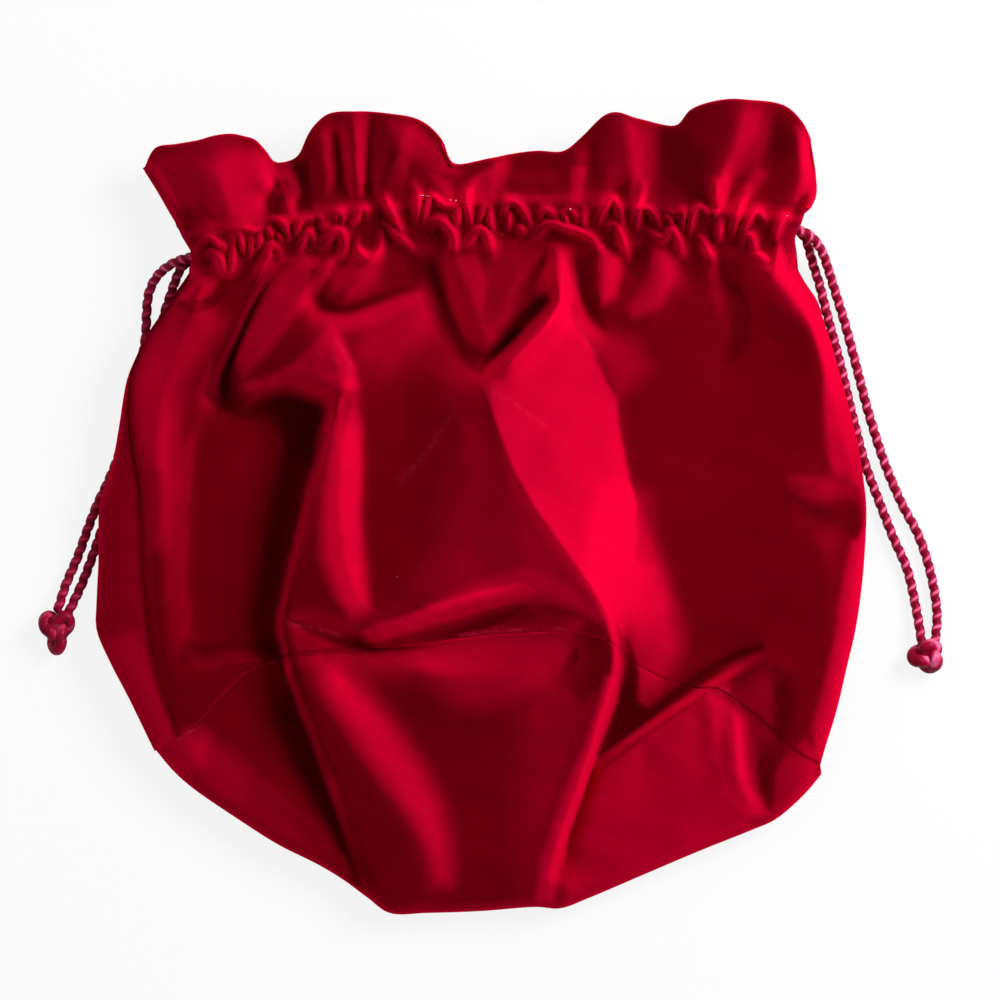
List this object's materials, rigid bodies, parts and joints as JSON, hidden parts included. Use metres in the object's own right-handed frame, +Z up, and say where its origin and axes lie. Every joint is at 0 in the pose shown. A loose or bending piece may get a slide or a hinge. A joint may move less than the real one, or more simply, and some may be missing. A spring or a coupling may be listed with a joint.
{
  "type": "drawstring dust bag",
  "caption": "Empty velvet drawstring pouch with a gathered neck, a frilled mouth, a round sewn-in base and a knotted twisted cord at each side, lying on its back.",
  "frame": {"origin": "on the table, under the middle of the bag without its cords", "axes": "+Y from the base to the mouth, +X to the right as seen from above with the mouth away from the viewer, +Z up from the table"},
  "size_m": [0.3335, 0.2992, 0.0462],
  "materials": {
    "velvet": "deep red cotton velvet with a short pile",
    "cord": "twisted satin cord, crimson"
  },
  "bodies": {
    "root": {"front_panel": "velvet", "back_panel": "velvet", "base_panel": "velvet", "cord_left": "cord", "cord_right": "cord", "knot_left": "cord", "knot_right": "cord"}
  },
  "joints": []
}
